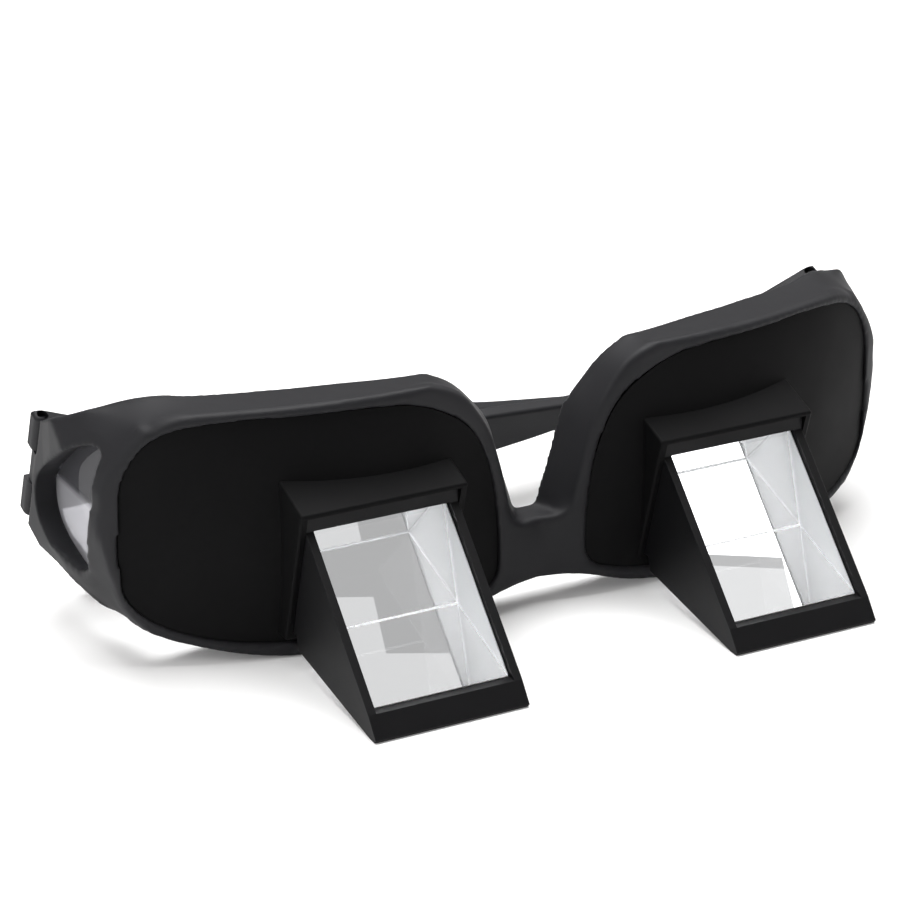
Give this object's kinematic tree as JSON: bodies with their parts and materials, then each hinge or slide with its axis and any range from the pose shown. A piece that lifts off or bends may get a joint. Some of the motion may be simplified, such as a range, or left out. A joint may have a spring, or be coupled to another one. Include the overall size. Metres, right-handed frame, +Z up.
{
  "type": "prism bed glasses",
  "caption": "Reading glasses for lying down: opaque black lens panels carry sloped right-angle glass prisms that turn the view downwards, with folding temples.",
  "frame": {"origin": "centre of the footprint on the surface that the folded glasses stand on", "axes": "+Z up; the front and the prisms face -Y; the wearer's left side is at +X"},
  "size_m": [0.1578, 0.0856, 0.0459],
  "materials": {
    "frame_plastic": "black moulded plastic with a soft-touch coat",
    "panel_plastic": "black moulded plastic, fine matte texture",
    "housing_plastic": "black moulded plastic, satin",
    "prism_glass": "polished optical glass",
    "retainer_plastic": "black moulded plastic",
    "window_plastic": "lightly smoked polished clear plastic",
    "temple_plastic": "black moulded plastic with a soft-touch coat",
    "screw_steel": "blackened steel"
  },
  "bodies": {
    "front": {"front_frame": "frame_plastic", "right_lens_panel": "panel_plastic", "left_lens_panel": "panel_plastic", "right_prism_housing": "housing_plastic", "left_prism_housing": "housing_plastic", "right_prism": "prism_glass", "left_prism": "prism_glass", "right_prism_retainer": "retainer_plastic", "left_prism_retainer": "retainer_plastic", "right_side_window": "window_plastic", "left_side_window": "window_plastic"},
    "right_temple": {"right_temple": "temple_plastic", "right_hinge_screw": "screw_steel"},
    "left_temple": {"left_temple": "temple_plastic", "left_hinge_screw": "screw_steel"}
  },
  "joints": [
    {"name": "left_temple_hinge", "type": "hinge", "parent": "front", "child": "left_temple", "pos_m": [0.0772, 0.02969, 0.0272], "axis": [0, 0.3665, -0.9304], "range_deg": [0, 95]},
    {"name": "right_temple_hinge", "type": "hinge", "parent": "front", "child": "right_temple", "pos_m": [-0.0772, 0.02969, 0.0272], "axis": [0, -0.3665, 0.9304], "range_deg": [0, 90.5]}
  ]
}
